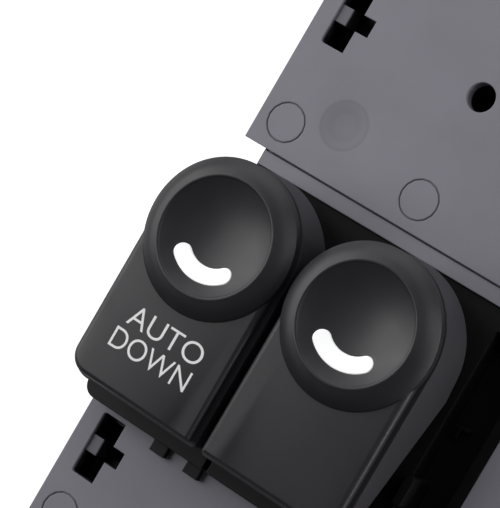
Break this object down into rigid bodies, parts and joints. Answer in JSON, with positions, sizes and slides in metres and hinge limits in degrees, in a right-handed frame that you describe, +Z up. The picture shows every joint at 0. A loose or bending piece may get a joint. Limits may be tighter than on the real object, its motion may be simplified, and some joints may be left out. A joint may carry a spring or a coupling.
{
  "type": "power window switch",
  "caption": "Vehicle power window switch: two sprung rocker keys with round dished knobs and light bars, set in a grey mounting plate on a black case with a connector socket.",
  "frame": {"origin": "on the flat underside of the lower case, below the line on which both keys rock, midway between the keys", "axes": "+X from the left key to the right key, +Y from the key fronts to the knobs, +Z up, out of the mounting plate"},
  "size_m": [0.0606, 0.108, 0.0349],
  "materials": {
    "grey_plate": "grained grey",
    "black_case": "fine grained black",
    "key_paint": "soft-touch paint, near black",
    "lever_plastic": "dark grey moulding",
    "white_lens": "white translucent",
    "white_plastic": "natural white",
    "spring_wire": "drawn wire",
    "slider_plastic": "grey-brown",
    "contact_brass": "plated",
    "board_green": "solder mask",
    "chip_black": "moulded",
    "screw_steel": "zinc plated"
  },
  "bodies": {
    "base": {"mounting_plate": "grey_plate", "lower_case": "black_case", "switch_housing": "black_case", "circuit_board": "board_green", "fixed_contacts": "contact_brass", "connector_header": "black_case", "connector_pins": "contact_brass", "lamp_left": "white_lens", "lamp_right": "white_lens", "resistors": "chip_black", "control_chip": "chip_black", "case_screws": "screw_steel", "board_screws": "screw_steel"},
    "rocker_left": {"rocker_lever_left": "lever_plastic", "rocker_cap_left": "key_paint", "light_bar_left": "white_lens", "detent_plunger_left": "white_plastic", "detent_spring_left": "spring_wire"},
    "slider_left": {"contact_slider_left": "slider_plastic", "moving_contact_left": "contact_brass"},
    "rocker_right": {"rocker_lever_right": "lever_plastic", "rocker_cap_right": "key_paint", "light_bar_right": "white_lens", "detent_plunger_right": "white_plastic", "detent_spring_right": "spring_wire"},
    "slider_right": {"contact_slider_right": "slider_plastic", "moving_contact_right": "contact_brass"}
  },
  "joints": [
    {"name": "rock_left", "type": "hinge", "parent": "base", "child": "rocker_left", "pos_m": [-0.01195, 0, 0.025], "axis": [1, 0, 0], "range_deg": [-7, 7], "stiffness_Nm_per_rad": 0.12},
    {"name": "slide_left", "type": "slide", "parent": "base", "child": "slider_left", "axis": [0, 1, 0], "range_m": [-0.0016, 0.0016]},
    {"name": "rock_right", "type": "hinge", "parent": "base", "child": "rocker_right", "pos_m": [0.01195, 0, 0.025], "axis": [1, 0, 0], "range_deg": [-7, 7], "stiffness_Nm_per_rad": 0.12},
    {"name": "slide_right", "type": "slide", "parent": "base", "child": "slider_right", "axis": [0, 1, 0], "range_m": [-0.0016, 0.0016]}
  ],
  "couplings": [
    {"joint": "slide_left", "follows": "rock_left", "m_per_rad": 0.0128},
    {"joint": "slide_right", "follows": "rock_right", "m_per_rad": 0.0128}
  ]
}
